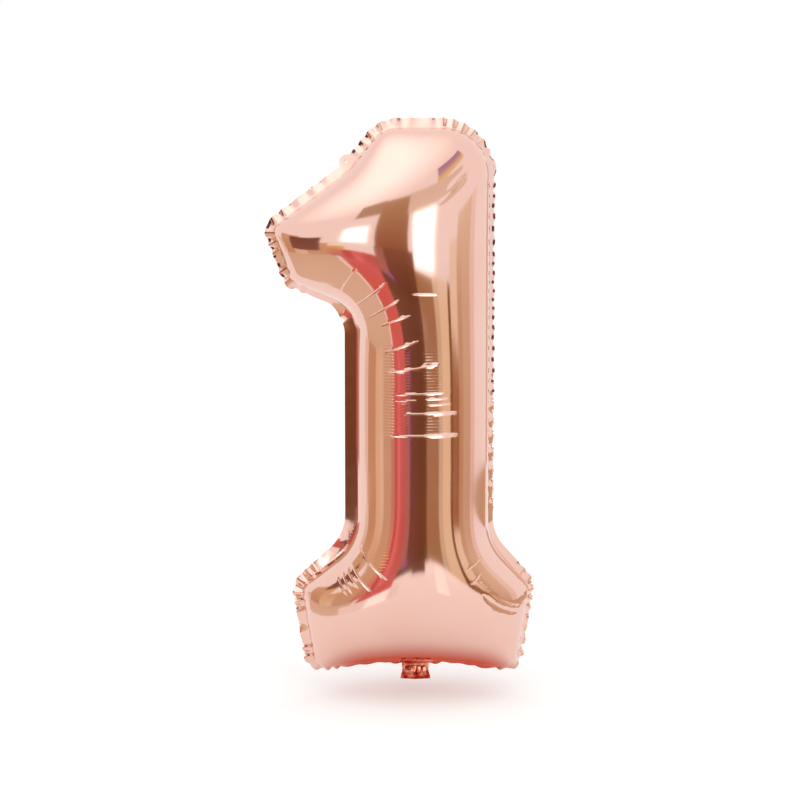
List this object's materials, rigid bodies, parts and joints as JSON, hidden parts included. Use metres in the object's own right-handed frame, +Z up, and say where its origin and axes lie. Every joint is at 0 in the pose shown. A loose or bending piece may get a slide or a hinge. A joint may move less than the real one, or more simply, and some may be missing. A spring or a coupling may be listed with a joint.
{
  "type": "foil number balloon",
  "caption": "Inflated foil balloon shaped as the digit 1, two heat-sealed foil sheets with a ruffled margin, hanging tabs, a filling tail that folds and a film valve",
  "frame": {"origin": "the middle of the fold at the root of the tail, where a ribbon is tied, midway between the two foil sheets", "axes": "+Z up along the digit's stem, the digit's front faces -Y, and +X is to the right of someone who reads it"},
  "size_m": [0.3355, 0.1886, 0.7018],
  "materials": {
    "rose_gold_foil": "polished",
    "valve_film": "satin"
  },
  "bodies": {
    "envelope": {"front_foil_panel": "rose_gold_foil", "back_foil_panel": "rose_gold_foil", "valve_front_film": "valve_film", "valve_back_film": "valve_film"},
    "tail": {"front_tail_tongue": "rose_gold_foil", "back_tail_tongue": "rose_gold_foil"}
  },
  "joints": [
    {"name": "tail_fold", "type": "hinge", "parent": "envelope", "child": "tail", "pos_m": [0, 0, 0], "axis": [1, 0, 0], "range_deg": [-80, 80], "deforming": ["valve_front_film", "valve_back_film"]}
  ]
}
